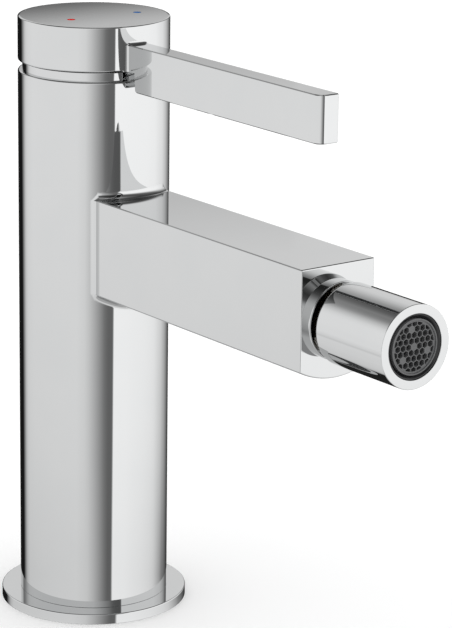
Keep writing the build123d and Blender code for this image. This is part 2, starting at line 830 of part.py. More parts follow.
# Aerator: black case screwed into the mouth, flow core, rubber washer and honeycomb outlet
case_front = nozzle_length - aerator_recess
case_rear = case_front - aerator_length + aerator_recess
grille_front = nozzle_length - aerator_recess / 2
grille_back = grille_front - grille_rim_height - grille_thickness
with BuildPart() as aerator_case:
    nozzle_turned(
        [
            (case_bore, case_rear),
            (aerator_radius, case_rear),
            (aerator_radius, case_front),
            (aerator_radius - aerator_recess, case_front),
            (grille_seat, case_front - aerator_groove_depth),
            (grille_seat, grille_back - seal_gap),
            (case_bore, grille_back - seal_gap),
        ]
    )
finish(aerator_case, "aerator_case")

# Honeycomb: pointed cells in rows, cut off by a circle, with the middle cell and three more closed
closed_cells = [(0, 0), (-2, 3), (3, -1), (-1, -2)]
cell_radius = (cell_pitch - cell_wall) / math.sqrt(3)
grille_open = grille_radius - grille_rim
cell_limit = grille_open - cell_margin


def cell_places():
    """Centres of the open cells, from steps along the rows and up the slant between rows."""
    cell_rings = math.ceil(grille_open / cell_pitch)
    steps = range(-cell_rings, cell_rings + 1)
    places = []
    for row in steps:
        for column in steps:
            x = cell_pitch * (column + row / 2)
            y = cell_pitch * row * math.sqrt(3) / 2
            if (column, row) in closed_cells:
                continue
            if math.hypot(x, y) < cell_limit:
                places.append((x, y))
    return places


with BuildPart() as aerator_grille:
    with BuildSketch(nozzle_face.offset(grille_back)):
        Circle(grille_radius)
    extrude(amount=grille_thickness)
    with BuildSketch(nozzle_face.offset(grille_back)):
        with Locations(*cell_places()):
            RegularPolygon(cell_radius, 6, rotation=30)
        Circle(cell_limit, mode=Mode.INTERSECT)
    extrude(amount=grille_thickness, mode=Mode.SUBTRACT)
    nozzle_turned(tube(grille_radius, grille_open, grille_back + grille_thickness, grille_front))
finish(aerator_grille, "aerator_grille")

core_radius = case_bore - running_gap
with BuildPart() as aerator_core:
    with BuildSketch(nozzle_face.offset(case_rear)):
        Circle(core_radius)
        with PolarLocations(core_radius - core_hole_edge, core_holes):
            Circle(core_hole_radius, mode=Mode.SUBTRACT)
    extrude(amount=core_length)
finish(aerator_core, "aerator_core")

with BuildPart() as aerator_washer:
    nozzle_turned(tube(aerator_radius, washer_bore_radius, ledge, ledge + washer_thickness))
finish(aerator_washer, "aerator_washer")
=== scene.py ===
# A bidet mixer in polished chrome, dressed piece by piece in the order it is put together.
# Every length is in metres, in the same frame as the solids: +Z up, spout towards -Y.
import math

import bmesh
import bpy
from mathutils import Matrix, Vector


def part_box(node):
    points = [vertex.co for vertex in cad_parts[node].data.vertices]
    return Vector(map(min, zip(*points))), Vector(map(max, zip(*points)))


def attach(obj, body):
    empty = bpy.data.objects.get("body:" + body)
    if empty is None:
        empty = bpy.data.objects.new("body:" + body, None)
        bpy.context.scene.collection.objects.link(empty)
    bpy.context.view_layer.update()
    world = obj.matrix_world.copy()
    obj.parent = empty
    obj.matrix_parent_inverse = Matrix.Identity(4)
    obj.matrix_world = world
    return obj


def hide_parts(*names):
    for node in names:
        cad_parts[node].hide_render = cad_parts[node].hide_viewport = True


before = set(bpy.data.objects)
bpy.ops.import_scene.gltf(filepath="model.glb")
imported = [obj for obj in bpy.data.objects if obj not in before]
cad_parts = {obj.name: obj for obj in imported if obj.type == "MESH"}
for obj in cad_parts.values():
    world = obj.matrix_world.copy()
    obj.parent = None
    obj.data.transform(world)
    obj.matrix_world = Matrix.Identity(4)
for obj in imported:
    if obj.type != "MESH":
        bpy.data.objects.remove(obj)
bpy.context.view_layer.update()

mm = 0.001


# Base flange. A turned brass disc, chromed, that the column's spigot stands in.
# Its top edge is broken by a small round, and its underside is grooved for the gasket.
merge_gap = 0.001 * mm


def turn(outline, rounds, place=None, steps=192):
    """Turns a closed outline of (radius, height) about Z; rounds gives a corner its radius."""
    shape = bmesh.new()
    corners = [shape.verts.new((radius, 0, height)) for radius, height in outline]
    shape.faces.new(corners)
    for corner, radius in rounds.items():
        bmesh.ops.bevel(
            shape, geom=[corners[corner]], offset=radius, affect="VERTICES",
            segments=5, profile=0.5, material=-1,
        )
    bmesh.ops.delete(shape, geom=shape.faces[:], context="FACES_ONLY")
    bmesh.ops.spin(
        shape, geom=shape.verts[:] + shape.edges[:], cent=(0, 0, 0), axis=(0, 0, 1),
        angle=math.tau, steps=steps, use_merge=True,
    )
    bmesh.ops.remove_doubles(shape, verts=shape.verts, dist=merge_gap)
    loose = [edge for edge in shape.edges if edge.is_wire]
    bmesh.ops.delete(shape, geom=loose, context="EDGES")
    if place:
        bmesh.ops.transform(shape, matrix=place, verts=shape.verts)
    return shape


sharp_angle = math.radians(25)


def finish_piece(shape, name, body, slot, material, *nodes):
    """Makes a shape an object, smooth but for its real edges, on its body in the nodes' stead."""
    bmesh.ops.recalc_face_normals(shape, faces=shape.faces)
    mesh = bpy.data.meshes.new(name)
    shape.to_mesh(mesh)
    shape.free()
    mesh.shade_smooth()
    mesh.set_sharp_from_angle(angle=sharp_angle)
    mesh.materials.append(material)
    piece = bpy.data.objects.new(name, mesh)
    bpy.context.scene.collection.objects.link(piece)
    flats = piece.modifiers.new("level_flats", "WEIGHTED_NORMAL")
    flats.mode = "FACE_AREA"
    flats.weight = 100
    flats.keep_sharp = True
    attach(piece, body)
    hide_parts(*nodes)
    return piece


def effect_group(name, inputs, outputs):
    """An empty node group with named number inputs, a place to read, and named outputs."""
    group = bpy.data.node_groups.new(name, "ShaderNodeTree")
    group.interface.new_socket("Place", in_out="INPUT", socket_type="NodeSocketVector")
    for socket, value in inputs.items():
        made = group.interface.new_socket(socket, in_out="INPUT", socket_type="NodeSocketFloat")
        made.default_value = value
    for socket in outputs:
        group.interface.new_socket(socket, in_out="OUTPUT", socket_type="NodeSocketFloat")
    return group, group.nodes.new("NodeGroupInput"), group.nodes.new("NodeGroupOutput")


def add(tree, kind, links=None, **settings):
    """Adds a node, sets what is named, and sets or links its inputs."""
    node = tree.nodes.new(kind)
    for key, value in settings.items():
        setattr(node, key, value)
    for socket, source in (links or {}).items():
        if isinstance(source, bpy.types.NodeSocket):
            tree.links.new(source, node.inputs[socket])
        else:
            node.inputs[socket].default_value = source
    return node


def new_material(name, **sockets):
    """A material with its shader's even values set, its tree, and the place on the piece."""
    made = bpy.data.materials.new(name)
    made.use_nodes = True
    tree = made.node_tree
    shader = tree.nodes["Principled BSDF"]
    for socket, value in sockets.items():
        shader.inputs[socket.replace("_", " ")].default_value = value
    place = add(tree, "ShaderNodeTexCoord").outputs["Object"]
    return made, tree, shader, place


def tint(tree, shader, mask, dark, light):
    """Colours a shader between two close tones by a mask."""
    mix = add(tree, "ShaderNodeMix", data_type="RGBA")
    tree.links.new(mask, mix.inputs[0])
    mix.inputs[6].default_value = (*dark, 1)
    mix.inputs[7].default_value = (*light, 1)
    tree.links.new(mix.outputs[2], shader.inputs["Base Color"])


polish, polish_in, polish_out = effect_group(
    "polish", {"Low": 0.02, "High": 0.06, "Cloud": 60.0, "Haze": 900.0}, ["Roughness", "Shade"]
)
cloud = add(
    polish, "ShaderNodeTexNoise",
    {"Vector": polish_in.outputs["Place"], "Scale": polish_in.outputs["Cloud"], "Detail": 4.0},
)
haze = add(
    polish, "ShaderNodeTexNoise",
    {"Vector": polish_in.outputs["Place"], "Scale": polish_in.outputs["Haze"], "Detail": 2.0},
)
smears = add(
    polish, "ShaderNodeMath", {0: cloud.outputs["Fac"], 1: haze.outputs["Fac"]}, operation="MULTIPLY"
)
spread = add(
    polish, "ShaderNodeMapRange",
    {
        "Value": smears.outputs[0], "From Min": 0.12, "From Max": 0.42,
        "To Min": polish_in.outputs["Low"], "To Max": polish_in.outputs["High"],
    },
)
polish.links.new(spread.outputs["Result"], polish_out.inputs["Roughness"])
polish.links.new(cloud.outputs["Fac"], polish_out.inputs["Shade"])


chrome, tree, shader, place = new_material("chrome", Metallic=1.0)
marks = add(tree, "ShaderNodeGroup", {"Place": place, "Low": 0.012, "High": 0.032}, node_tree=polish)
tree.links.new(marks.outputs["Roughness"], shader.inputs["Roughness"])
chrome_dark = (0.54, 0.548, 0.552)
chrome_light = (0.57, 0.573, 0.573)
tint(tree, shader, marks.outputs["Shade"], chrome_dark, chrome_light)

flange_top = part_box("base_flange")[1]
gasket_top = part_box("base_gasket")[1]
flange_bore = 19.1 * mm
flange_foot_round = 0.1 * mm
flange_top_round = 0.3 * mm
gasket_bore = 21.2 * mm
flange_outline = [
    (flange_bore, 0),
    (gasket_bore, 0),
    (gasket_bore, gasket_top.z),
    (gasket_top.x, gasket_top.z),
    (gasket_top.x, 0),
    (flange_top.x, 0),
    (flange_top.x, flange_top.z),
    (flange_bore, flange_top.z),
]
shape = turn(flange_outline, {5: flange_foot_round, 6: flange_top_round})
finish_piece(shape, "flange_disc", "body", "chrome", chrome, "base_flange")


# Base gasket. A black rubber ring pressed into the flange's groove, flush with its underside.
# Nitrile rubber, moulded, with a dry grey bloom and a fine grain.
def finish_nodes(material, *nodes):
    """Gives solids that stay as they are their material."""
    for node in nodes:
        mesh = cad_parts[node].data
        mesh.materials.clear()
        mesh.materials.append(material)


grain, grain_in, grain_out = effect_group("grain", {"Fine": 2500.0, "Broad": 120.0}, ["Height", "Mottle"])
fine = add(
    grain, "ShaderNodeTexNoise",
    {"Vector": grain_in.outputs["Place"], "Scale": grain_in.outputs["Fine"], "Detail": 3.0},
)
broad = add(
    grain, "ShaderNodeTexNoise",
    {"Vector": grain_in.outputs["Place"], "Scale": grain_in.outputs["Broad"], "Detail": 5.0},
)
pits = add(
    grain, "ShaderNodeMapRange", {"Value": fine.outputs["Fac"], "From Min": 0.3, "From Max": 0.7}
)
patches = add(
    grain, "ShaderNodeMapRange", {"Value": broad.outputs["Fac"], "From Min": 0.3, "From Max": 0.7}
)
grain.links.new(pits.outputs["Result"], grain_out.inputs["Height"])
grain.links.new(patches.outputs["Result"], grain_out.inputs["Mottle"])


def emboss(tree, shader, height, strength, depth):
    """Raises a shader's surface by a height."""
    bump = add(tree, "ShaderNodeBump", {"Strength": strength, "Distance": depth, "Height": height})
    tree.links.new(bump.outputs["Normal"], shader.inputs["Normal"])


grain_depth = 0.02 * mm


def mould(name, dark, light, low, high, fine=2500.0, broad=120.0, strength=0.12, **sockets):
    """A moulded material: two close tones, an uneven sheen and a fine grain."""
    made, tree, shader, place = new_material(name, **sockets)
    skin = add(tree, "ShaderNodeGroup", node_tree=grain)
    tree.links.new(place, skin.inputs["Place"])
    skin.inputs["Fine"].default_value = fine
    skin.inputs["Broad"].default_value = broad
    tint(tree, shader, skin.outputs["Mottle"], dark, light)
    sheen = add(
        tree, "ShaderNodeMapRange", {"Value": skin.outputs["Mottle"], "To Min": low, "To Max": high}
    )
    tree.links.new(sheen.outputs["Result"], shader.inputs["Roughness"])
    emboss(tree, shader, skin.outputs["Height"], strength, grain_depth)
    return made


rubber_black = (0.012, 0.012, 0.013)
rubber_bloom = (0.03, 0.03, 0.029)
rubber = mould("black_rubber", rubber_black, rubber_bloom, 0.5, 0.7, Specular_IOR_Level=0.35)
finish_nodes(rubber, "base_gasket")


# Body. One brass casting, chromed: the column, and the box spout that leaves its front.
# Narrow flats break the spout's edges, and a round blends its root into the column.
# Its foot is tapped for the fixing stud and the inlets, and its end takes the nozzle's collar.
hair = 0.01 * mm
end_zone = 1 * mm


def arc(centre, radius, start, end, count):
    """Points of an arc from one angle to another, in degrees, both ends included."""
    angles = [math.radians(start + (end - start) * step / count) for step in range(count + 1)]
    return [(centre[0] + radius * math.cos(a), centre[1] + radius * math.sin(a)) for a in angles]


def open_rim(shape):
    return [edge for edge in shape.edges if edge.is_boundary]


def blend_root(shape, column, radius, flat_below, steps=12, sink=0.6 * mm):
    """Blends a shape's open end into a column about Z, as a ball rolled along the joint would.

    Points at or under flat_below blend level, so that the underside stays flat there.
    The end is then closed a little under the column's skin.
    """
    ends = list({vert for edge in open_rim(shape) for vert in edge.verts})
    middle = sum((vert.co for vert in ends), Vector()) / len(ends)
    outwards = []
    for vert in ends:
        ahead, behind = [edge.other_vert(vert).co for edge in vert.link_edges if edge.is_boundary]
        outward = Vector((ahead.z - behind.z, 0, behind.x - ahead.x)).normalized()
        if vert.co.z <= flat_below:
            outward = Vector((math.copysign(1, vert.co.x), 0, 0))
        outwards.append(outward if outward.dot(vert.co - middle) > 0 else -outward)
    paths = {}
    for vert, outward in zip(ends, outwards):
        ball = vert.co + radius * outward
        ball.y = -math.sqrt((column + radius) ** 2 - ball.x ** 2)
        vert.co.y = ball.y
        paths[vert.co.to_tuple(8)] = (ball, -outward, -Vector((ball.x, ball.y, 0)).normalized())
    for step in range(1, steps + 3):
        bmesh.ops.extrude_edge_only(shape, edges=open_rim(shape))
        moved = {}
        for vert in {vert for edge in open_rim(shape) for vert in edge.verts}:
            path = paths[vert.co.to_tuple(8)]
            ball, start, end = path
            if step <= steps:
                vert.co = ball + radius * start.slerp(end, step / steps)
            else:
                along = end * start.dot(end) - start
                depth = hair if step == steps + 1 else sink
                vert.co = ball + radius * (end + (step - steps) / 2 * along.normalized())
                inset = (column - depth) / math.hypot(vert.co.x, vert.co.y)
                vert.co.x *= inset
                vert.co.y *= inset
            moved[vert.co.to_tuple(8)] = path
        paths = moved
    bmesh.ops.contextual_create(shape, geom=open_rim(shape))


def open_flat(shape, height):
    """Takes away the flat at a height and gives back its rim."""
    flat = [face for face in shape.faces if all(abs(vert.co.z - height) < hair for vert in face.verts)]
    bmesh.ops.delete(shape, geom=flat, context="FACES")
    return open_rim(shape)


def drill(shape, rim, holes, segments=64, border=0.3 * mm):
    """Fills a flat up to its rim, round stepped holes. A hole has its place and (radius, depth) steps.

    A narrow border is set in along every rim, so that the flat stays flat beside the rounds.
    """
    mouths = []
    for place, steps in holes:
        circle = bmesh.ops.create_circle(shape, segments=segments, radius=steps[0][0], matrix=place)
        mouths.append(list({edge for vert in circle["verts"] for edge in vert.link_edges}))
    filled = bmesh.ops.triangle_fill(shape, edges=rim + sum(mouths, []), use_beauty=True)["geom"]
    flat = [part for part in filled if isinstance(part, bmesh.types.BMFace)]
    for (place, steps), ring in zip(holes, mouths):
        radius, floor = steps[0][0], 0
        for next_radius, depth in steps:
            for wider, deeper in ((next_radius / radius, 0), (1, depth - floor)):
                if (wider, deeper) == (1, 0):
                    continue
                made = bmesh.ops.extrude_edge_only(shape, edges=ring)["geom"]
                verts = [part for part in made if isinstance(part, bmesh.types.BMVert)]
                ring = [
                    part for part in made
                    if isinstance(part, bmesh.types.BMEdge) and all(vert in verts for vert in part.verts)
                ]
                move = Matrix.Translation((0, 0, deeper)) @ Matrix.Diagonal((wider, wider, 1, 1))
                bmesh.ops.transform(shape, matrix=place @ move @ place.inverted(), verts=verts)
            radius, floor = next_radius, depth
        bmesh.ops.contextual_create(shape, geom=ring)
    bmesh.ops.recalc_face_normals(shape, faces=shape.faces)
    bmesh.ops.inset_region(shape, faces=flat, thickness=border, use_boundary=True, use_even_offset=True)


def round_edges(shape, edges, radius, segments=4):
    bmesh.ops.bevel(
        shape, geom=edges, offset=radius, affect="EDGES", segments=segments, profile=0.5, material=-1
    )


def thicken(shape, outline_face, way):
    """Extrudes a shape's first face into a block."""
    made = bmesh.ops.extrude_face_region(shape, geom=[outline_face])["geom"]
    verts = [part for part in made if isinstance(part, bmesh.types.BMVert)]
    bmesh.ops.translate(shape, verts=verts, vec=way)
    bmesh.ops.recalc_face_normals(shape, faces=shape.faces)


def join(shape, other):
    """Adds another mesh to a shape."""
    mesh = bpy.data.meshes.new("joined")
    other.to_mesh(mesh)
    other.free()
    shape.from_mesh(mesh)
    bpy.data.meshes.remove(mesh)


body_low, body_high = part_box("body")
collar_low, collar_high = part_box("nozzle_collar")
column_radius = body_high.x
column_top = body_high.z
spout_face = body_low.y
spout_half = 12.3 * mm
spout_top = 127.1 * mm
spout_side_bottom = 99.1 * mm
spout_bulge = 3.2 * mm
spigot_radius = 19.0 * mm
thread_bottom = 153.1 * mm
cartridge_bore = 17.65 * mm
cartridge_seat = 128.0 * mm
nozzle_height = (collar_low.z + collar_high.z) / 2
edge_round = 0.38 * mm
edge_break = 0.27 * mm
column_foot_round = 0.1 * mm
column_rim_round = 0.55 * mm
column_mouth_round = 0.2 * mm
inlet_across = 6.0 * mm
inlet_forward = 6.1 * mm
inlet_radius = 4.46 * mm
inlet_depth = 12 * mm
duct_radius = 3.0 * mm
duct_depth = 60 * mm
stud_hole_back = 10.5 * mm
stud_hole_radius = 3.4 * mm
stud_hole_depth = 10 * mm
spout_blank = 90 * mm
spout_root_round = 2.2 * mm
collar_recess_radius = 9.65 * mm
collar_recess_depth = 3.2 * mm
end_face_border = 0.04 * mm

column_outline = [
    (0, 0),
    (spigot_radius, 0),
    (spigot_radius, flange_top.z),
    (column_radius, flange_top.z),
    (column_radius, column_top),
    (spigot_radius, column_top),
    (spigot_radius, thread_bottom),
    (cartridge_bore, thread_bottom),
    (cartridge_bore, cartridge_seat),
    (0, cartridge_seat),
]
shape = turn(column_outline, {3: column_foot_round, 4: column_rim_round, 5: column_mouth_round})
inlet_steps = [(inlet_radius, inlet_depth), (duct_radius, duct_depth)]
foot_holes = [
    (Matrix.Translation((-inlet_across, -inlet_forward, 0)), inlet_steps),
    (Matrix.Translation((inlet_across, -inlet_forward, 0)), inlet_steps),
    (Matrix.Translation((0, stud_hole_back, 0)), [(stud_hole_radius, stud_hole_depth)]),
]
drill(shape, open_flat(shape, 0), foot_holes)

bulge_radius = (spout_half ** 2 + spout_bulge ** 2) / (2 * spout_bulge)
bulge_reach = math.degrees(math.asin(spout_half / bulge_radius))
bulge_centre = (0, spout_side_bottom - spout_bulge + bulge_radius)
spout_outline = arc(bulge_centre, bulge_radius, -90 - bulge_reach, -90 + bulge_reach, 32)
spout_outline += [(spout_half, spout_top), (-spout_half, spout_top)]
spout = bmesh.new()
end_face = spout.faces.new([spout.verts.new((x, spout_face, z)) for x, z in spout_outline])
thicken(spout, end_face, (0, spout_blank, 0))
long_edges = [
    edge for edge in spout.edges
    if edge.calc_face_angle() > sharp_angle and edge.calc_length() > spout_blank / 2
]
round_edges(spout, long_edges, edge_break, segments=1)
front_edges = [
    edge for edge in spout.edges if all(vert.co.y < spout_face + end_zone for vert in edge.verts)
]
round_edges(spout, front_edges, edge_round)
spout_rear = max(vert.co.y for vert in spout.verts)
rear_face = [
    face for face in spout.faces if all(vert.co.y > spout_rear - end_zone for vert in face.verts)
]
bmesh.ops.delete(spout, geom=rear_face, context="FACES_ONLY")
top_edge = [edge for edge in open_rim(spout) if all(vert.co.z > spout_top - hair for vert in edge.verts)]
bmesh.ops.subdivide_edges(spout, edges=top_edge, cuts=31)
blend_root(spout, column_radius, spout_root_round, spout_side_bottom - 2 * spout_bulge)
front = [face for face in spout.faces if all(vert.co.y < spout_face + hair for vert in face.verts)]
bmesh.ops.delete(spout, geom=front, context="FACES_ONLY")
into_spout = Matrix.Translation((0, spout_face, nozzle_height)) @ Matrix.Rotation(math.radians(-90), 4, "X")
collar_recess = (into_spout, [(collar_recess_radius, collar_recess_depth)])
drill(spout, open_rim(spout), [collar_recess], segments=96, border=end_face_border)
join(shape, spout)
finish_piece(shape, "column_and_spout", "body", "chrome", chrome, "body")

# Cartridge, lower half: the moulded plate that stands on the casting's seat, with rubber rings
# above and below it. The plate is natural acetal, white and faintly waxy.
acetal_cream = (0.74, 0.735, 0.71)
acetal_white = (0.82, 0.815, 0.79)
acetal = mould(
    "white_acetal", acetal_cream, acetal_white, 0.3, 0.42, fine=1600.0, strength=0.05,
    Subsurface_Weight=0.05,
)
finish_nodes(acetal, "cartridge_base")
finish_nodes(rubber, "port_seals", "disc_seals")

# Ceramic discs: two lapped alumina discs that slide on each other and shut off the water.
# The lapped faces are near mirror-flat, the fired sides a little duller.
alumina_grey = (0.80, 0.79, 0.76)
alumina_white = (0.88, 0.87, 0.84)
ceramic = mould("alumina", alumina_grey, alumina_white, 0.1, 0.24, fine=4000.0, broad=300.0, strength=0.03)
finish_nodes(ceramic, "fixed_disc", "moving_disc")

# Disc carrier and turntable: acetal mouldings that pass the lever's swing and turn to the disc.
# The carrier holds the moving disc, and the turntable turns in the housing over it.
finish_nodes(acetal, "disc_carrier", "turntable")

# Pivot pin. Stainless steel, ground round, pushed through the turntable and the spindle.
# The same fine rings about an axis mark every machined piece.
turning, turning_in, turning_out = effect_group("turning", {"Pitch": 9000.0}, ["Height", "Tone"])
spot = add(turning, "ShaderNodeSeparateXYZ", {0: turning_in.outputs["Place"]})
radius_squared = add(
    turning, "ShaderNodeMath",
    {
        0: add(turning, "ShaderNodeMath", {0: spot.outputs["X"], 1: 2.0}, operation="POWER").outputs[0],
        1: add(turning, "ShaderNodeMath", {0: spot.outputs["Y"], 1: 2.0}, operation="POWER").outputs[0],
    },
    operation="ADD",
)
radius_there = add(turning, "ShaderNodeMath", {0: radius_squared.outputs[0], 1: 0.5}, operation="POWER")
feed = add(turning, "ShaderNodeMath", {0: radius_there.outputs[0], 1: spot.outputs["Z"]}, operation="ADD")
lathe = add(
    turning, "ShaderNodeMath", {0: feed.outputs[0], 1: turning_in.outputs["Pitch"]}, operation="MULTIPLY"
)
rings = add(turning, "ShaderNodeTexNoise", {"W": lathe.outputs[0], "Scale": 1.0}, noise_dimensions="1D")
stain = add(
    turning, "ShaderNodeTexNoise",
    {"Vector": turning_in.outputs["Place"], "Scale": 180.0, "Detail": 4.0},
)
tones = add(
    turning, "ShaderNodeMath", {0: rings.outputs["Fac"], 1: stain.outputs["Fac"]}, operation="MULTIPLY"
)
tone_range = add(
    turning, "ShaderNodeMapRange", {"Value": tones.outputs[0], "From Min": 0.1, "From Max": 0.42}
)
turning.links.new(rings.outputs["Fac"], turning_out.inputs["Height"])
turning.links.new(tone_range.outputs["Result"], turning_out.inputs["Tone"])


ring_depth = 0.02 * mm
ring_strength = 0.15


def machine(name, dark, light, low, high, centre, turn_to_z):
    """A machined metal, ringed by the tool about an axis through centre."""
    made, tree, shader, place = new_material(name, Metallic=1.0)
    chuck = add(tree, "ShaderNodeMapping", {"Vector": place}, vector_type="TEXTURE")
    chuck.inputs["Location"].default_value = centre
    chuck.inputs["Rotation"].default_value = turn_to_z
    marks = add(tree, "ShaderNodeGroup", node_tree=turning)
    tree.links.new(chuck.outputs["Vector"], marks.inputs["Place"])
    tint(tree, shader, marks.outputs["Tone"], dark, light)
    sheen = add(
        tree, "ShaderNodeMapRange", {"Value": marks.outputs["Tone"], "To Min": high, "To Max": low}
    )
    tree.links.new(sheen.outputs["Result"], shader.inputs["Roughness"])
    emboss(tree, shader, marks.outputs["Height"], ring_strength, ring_depth)
    return made


pivot = (0, 0, 148.0 * mm)
crosswise = (0, math.radians(90), 0)
steel_dark = (0.42, 0.43, 0.45)
steel_light = (0.62, 0.63, 0.65)
pin_steel = machine("ground_steel", steel_dark, steel_light, 0.16, 0.3, pivot, crosswise)
finish_nodes(pin_steel, "pivot_pin")

# Spindle and cartridge nut: plain brass, turned and milled, left bright inside the mixer.
# The pin holds the spindle in the turntable, and the nut screws down into the column.
column_foot = (0, 0, 0)
upright = (0, 0, 0)
brass_dark = (0.60, 0.43, 0.17)
brass_light = (0.76, 0.60, 0.30)
column_brass = machine("turned_brass", brass_dark, brass_light, 0.18, 0.36, column_foot, upright)
finish_nodes(column_brass, "spindle", "cartridge_nut")

# Cartridge housing: the acetal shell round the discs, which the nut holds down.
# It is moulded as the plate and the carrier are.
finish_nodes(acetal, "cartridge_housing")

# Neck ring. A turned brass cover, chromed, that closes the column's mouth in the shadow gap.
# Its skirt is pushed in on a rubber O-ring.
neck_low, neck_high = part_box("neck_ring")
neck_rim_round = 0.45 * mm
neck_bore_round = 0.2 * mm
neck_bore = 14.0 * mm
skirt_radius = 18.9 * mm
skirt_bore = 16.7 * mm
neck_shell = 1.1 * mm
neck_outline = [
    (skirt_bore, neck_low.z),
    (skirt_radius, neck_low.z),
    (skirt_radius, column_top),
    (neck_high.x, column_top),
    (neck_high.x, neck_high.z),
    (neck_bore, neck_high.z),
    (neck_bore, neck_high.z - neck_shell),
    (skirt_bore, neck_high.z - 2 * neck_shell),
]
shape = turn(neck_outline, {4: neck_rim_round, 5: neck_bore_round})
finish_piece(shape, "neck_cover", "body", "chrome", chrome, "neck_ring")
finish_nodes(rubber, "neck_seal")

# Handle. One brass casting, chromed: the cap over the cartridge and the upright lever blade.
# The blade's tip is well rounded on the left edge and nearly sharp on the right one.
handle_low, handle_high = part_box("handle")
cap_bottom = 163.8 * mm
cap_bore = 20.5 * mm
cap_flare = 0.7 * mm
cap_flare_height = 2.0 * mm
cap_ceiling = 172.45 * mm
cap_top_round = 0.42 * mm
cap_bottom_round = 0.5 * mm
cap_mouth_round = 0.15 * mm
hub_radius = 6.8 * mm
hub_bottom = 167.45 * mm
blade_half = 3.2 * mm
blade_top = 171.45 * mm
blade_rear = -15 * mm
blade_left_round = 2.6 * mm
blade_right_round = 0.4 * mm
blade_root_round = 0.9 * mm
heel = 25.05 * mm
heel_round = 0.9 * mm
hot_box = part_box("hot_mark")
cold_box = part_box("cold_mark")
mark_places = {"hot": (hot_box[0] + hot_box[1]) / 2, "cold": (cold_box[0] + cold_box[1]) / 2}
mark_radius = (hot_box[1].x - hot_box[0].x) / 2
mark_gap = 0.05 * mm
mark_recess = 0.8 * mm

cap_outline = [
    (0, handle_high.z),
    (column_radius, handle_high.z),
    (column_radius, cap_bottom),
    (cap_bore + cap_flare, cap_bottom),
    (cap_bore, cap_bottom + cap_flare_height),
    (cap_bore, cap_ceiling),
    (hub_radius, cap_ceiling),
    (hub_radius, hub_bottom),
    (0, hub_bottom),
]
shape = turn(cap_outline, {1: cap_top_round, 2: cap_bottom_round, 3: cap_mouth_round})
recesses = [
    (
        Matrix.Translation((centre.x, centre.y, handle_high.z)) @ Matrix.Rotation(math.pi, 4, "X"),
        [(mark_radius + mark_gap, mark_recess)],
    )
    for centre in mark_places.values()
]
drill(shape, open_flat(shape, handle_high.z), recesses, segments=48)

heel_corner = (-heel - heel_round, handle_low.z + heel_round)
blade_outline = [(blade_rear, blade_top), (blade_rear, cap_bottom), (-heel, cap_bottom)]
blade_outline += arc(heel_corner, heel_round, 0, -90, 6)
blade_outline += [(handle_low.y, handle_low.z), (handle_low.y, blade_top)]
blade = bmesh.new()
left_side = blade.faces.new([blade.verts.new((-blade_half, y, z)) for y, z in blade_outline])
thicken(blade, left_side, (2 * blade_half, 0, 0))
for across, radius, segments in ((-blade_half, blade_left_round, 12), (blade_half, blade_right_round, 5)):
    corner = [
        edge for edge in blade.edges
        if all(abs(v.co.x - across) + abs(v.co.y - handle_low.y) < hair for v in edge.verts)
    ]
    round_edges(blade, corner, radius, segments)
outer_edges = [
    edge for edge in blade.edges
    if edge.is_convex
    and edge.calc_face_angle() > sharp_angle
    and min(vert.co.y for vert in edge.verts) < blade_rear - end_zone
    and not all(abs(vert.co.z - cap_bottom) < hair for vert in edge.verts)
]
round_edges(blade, outer_edges, edge_break, segments=1)
rear_face = [
    face for face in blade.faces if all(vert.co.y > blade_rear - end_zone for vert in face.verts)
]
bmesh.ops.delete(blade, geom=rear_face, context="FACES_ONLY")
top_edge = [edge for edge in open_rim(blade) if all(vert.co.z > blade_top - hair for vert in edge.verts)]
bmesh.ops.subdivide_edges(blade, edges=top_edge, cuts=11)
blend_root(blade, column_radius, blade_root_round, cap_bottom + hair)
join(shape, blade)
finish_piece(shape, "cap_and_lever", "handle", "chrome", chrome, "handle")

# Grub screw and plug. The steel screw clamps the hub to the spindle, and the chromed plug is
# pressed in over its hole, at the cap's rear.
plug_low, plug_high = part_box("screw_plug")
plug_radius = plug_high.x
plug_proud = 0.05 * mm
plug_face = column_radius + plug_proud
plug_round = 0.25 * mm
screw_height = (plug_low.z + plug_high.z) / 2
lengthwise = (math.radians(90), 0, 0)
screw_dark = (0.36, 0.37, 0.39)
screw_light = (0.55, 0.56, 0.58)
screw_steel = machine(
    "screw_steel", screw_dark, screw_light, 0.2, 0.36, (0, 0, screw_height), lengthwise
)
finish_nodes(screw_steel, "handle_screw")
plug_outline = [
    (0, plug_low.y),
    (plug_radius, plug_low.y),
    (plug_radius, plug_face),
    (0, plug_face),
]
towards_rear = Matrix.Translation((0, 0, screw_height)) @ Matrix.Rotation(math.radians(-90), 4, "X")
shape = turn(plug_outline, {2: plug_round}, towards_rear, steps=96)
finish_piece(shape, "plug_button", "handle", "chrome", chrome, "screw_plug")


# Temperature dots. Hot red and cold blue enamel, flooded into two drilled recesses in the cap's
# top and baked, so that each stands level with the chrome with a softly rounded rim.
def enamel(name, dark, light):
    """A baked enamel: even colour with faint clouds, and a gloss broken by the odd pinhole."""
    return mould(
        name, dark, light, 0.4, 0.5, fine=1500.0, broad=700.0, strength=0.03, Specular_IOR_Level=0.004
    )


enamels = {
    "hot": enamel("red_enamel", (0.50, 0.004, 0.002), (0.56, 0.009, 0.004)),
    "cold": enamel("blue_enamel", (0.018, 0.085, 0.25), (0.03, 0.115, 0.31)),
}
slots = {"hot": "hot_red", "cold": "cold_blue"}
mark_bottom = hot_box[0].z
mark_round = 0.12 * mm
dot_outline = [
    (0, mark_bottom),
    (mark_radius, mark_bottom),
    (mark_radius, handle_high.z),
    (0, handle_high.z),
]
for side, centre in mark_places.items():
    shape = turn(dot_outline, {2: mark_round}, Matrix.Translation((centre.x, centre.y, 0)), steps=48)
    finish_piece(shape, f"{side}_dot", "handle", slots[side], enamels[side], f"{side}_mark")

